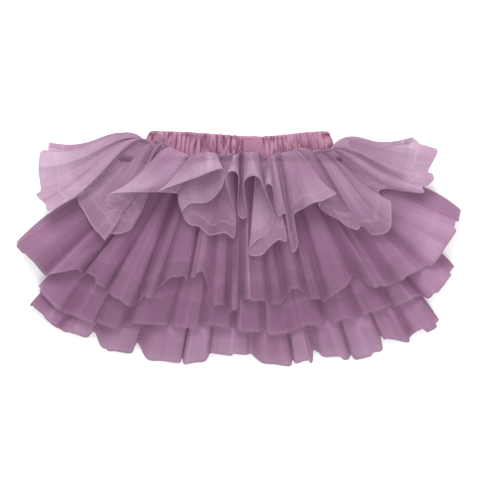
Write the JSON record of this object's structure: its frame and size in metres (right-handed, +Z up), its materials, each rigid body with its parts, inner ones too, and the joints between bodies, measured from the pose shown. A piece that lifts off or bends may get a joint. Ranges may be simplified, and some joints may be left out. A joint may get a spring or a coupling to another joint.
{
  "type": "tutu skirt",
  "caption": "Small child's tutu skirt laid flat: a gathered waistband over tiers of ruffled tulle that fan out below it.",
  "frame": {"origin": "on the surface that the skirt lies on, under the middle of the whole skirt's box", "axes": "+X to the right along the waistband, +Y from the hem towards the waistband, +Z up, away from the surface"},
  "size_m": [0.446, 0.236, 0.0512],
  "materials": {
    "waistband_cotton": "matte gathered cotton jersey",
    "tier_1_tulle": "sheer soft tulle",
    "tier_2_tulle": "sheer soft tulle",
    "tier_3_tulle": "sheer soft tulle",
    "tier_4_tulle": "sheer soft tulle"
  },
  "bodies": {
    "root": {"waistband": "waistband_cotton", "tier_1": "tier_1_tulle", "tier_2": "tier_2_tulle", "tier_3": "tier_3_tulle", "tier_4": "tier_4_tulle"}
  },
  "joints": []
}
